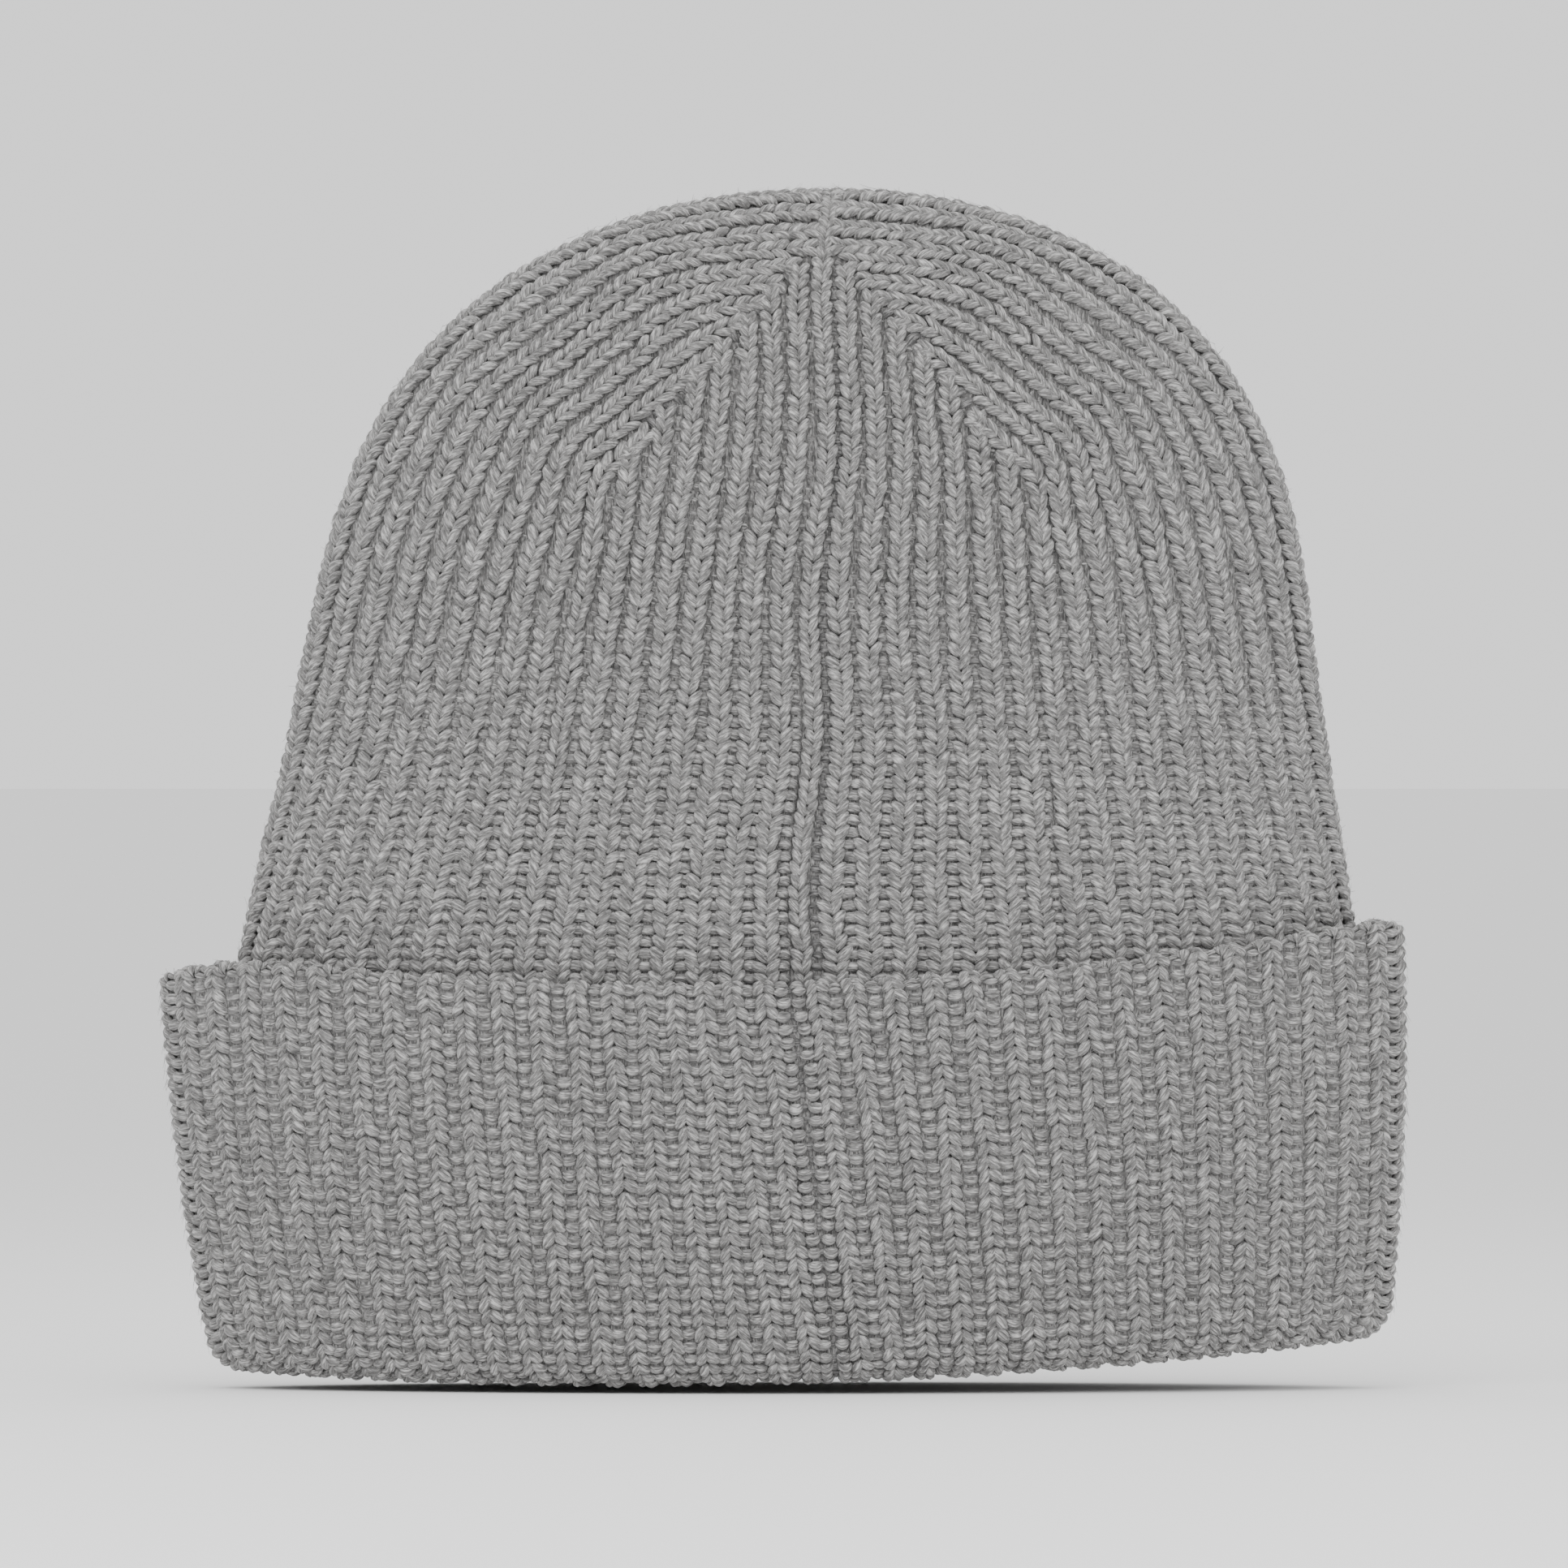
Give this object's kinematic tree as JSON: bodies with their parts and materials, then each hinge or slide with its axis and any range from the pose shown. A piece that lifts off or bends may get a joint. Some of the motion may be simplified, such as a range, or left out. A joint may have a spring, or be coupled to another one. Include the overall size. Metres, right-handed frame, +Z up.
{
  "type": "knit beanie",
  "caption": "Ribbed knit beanie with a turned-up cuff, a gored crown gathered to a point and a seam up the back.",
  "frame": {"origin": "middle of the head opening, at the height of the cuff's fold", "axes": "+X across the hat to the right seen from the seam's side, -Y is the face with the back seam, +Z up through the crown"},
  "size_m": [0.2251, 0.074, 0.2155],
  "materials": {
    "body_knit": "matte",
    "cuff_knit": "matte",
    "seam_yarn": "matte"
  },
  "bodies": {
    "crown": {"body_wall": "body_knit", "brim_inner_layer": "body_knit", "back_gore_left": "body_knit", "back_gore_right": "body_knit", "front_gore": "body_knit", "left_gore": "body_knit", "right_gore": "body_knit", "back_seam": "seam_yarn", "back_dart_seam_left": "seam_yarn", "back_dart_seam_right": "seam_yarn", "front_dart_seam_left": "seam_yarn", "front_dart_seam_right": "seam_yarn", "crown_seam": "seam_yarn", "crown_knot": "seam_yarn"},
    "cuff": {"cuff_band": "cuff_knit", "cuff_fold": "cuff_knit", "cuff_rim": "cuff_knit", "cuff_seam": "seam_yarn"}
  },
  "joints": [
    {"name": "cuff_turn_down", "type": "slide", "parent": "crown", "child": "cuff", "axis": [0, 0, 1], "range_m": [-0.06, 0]}
  ]
}
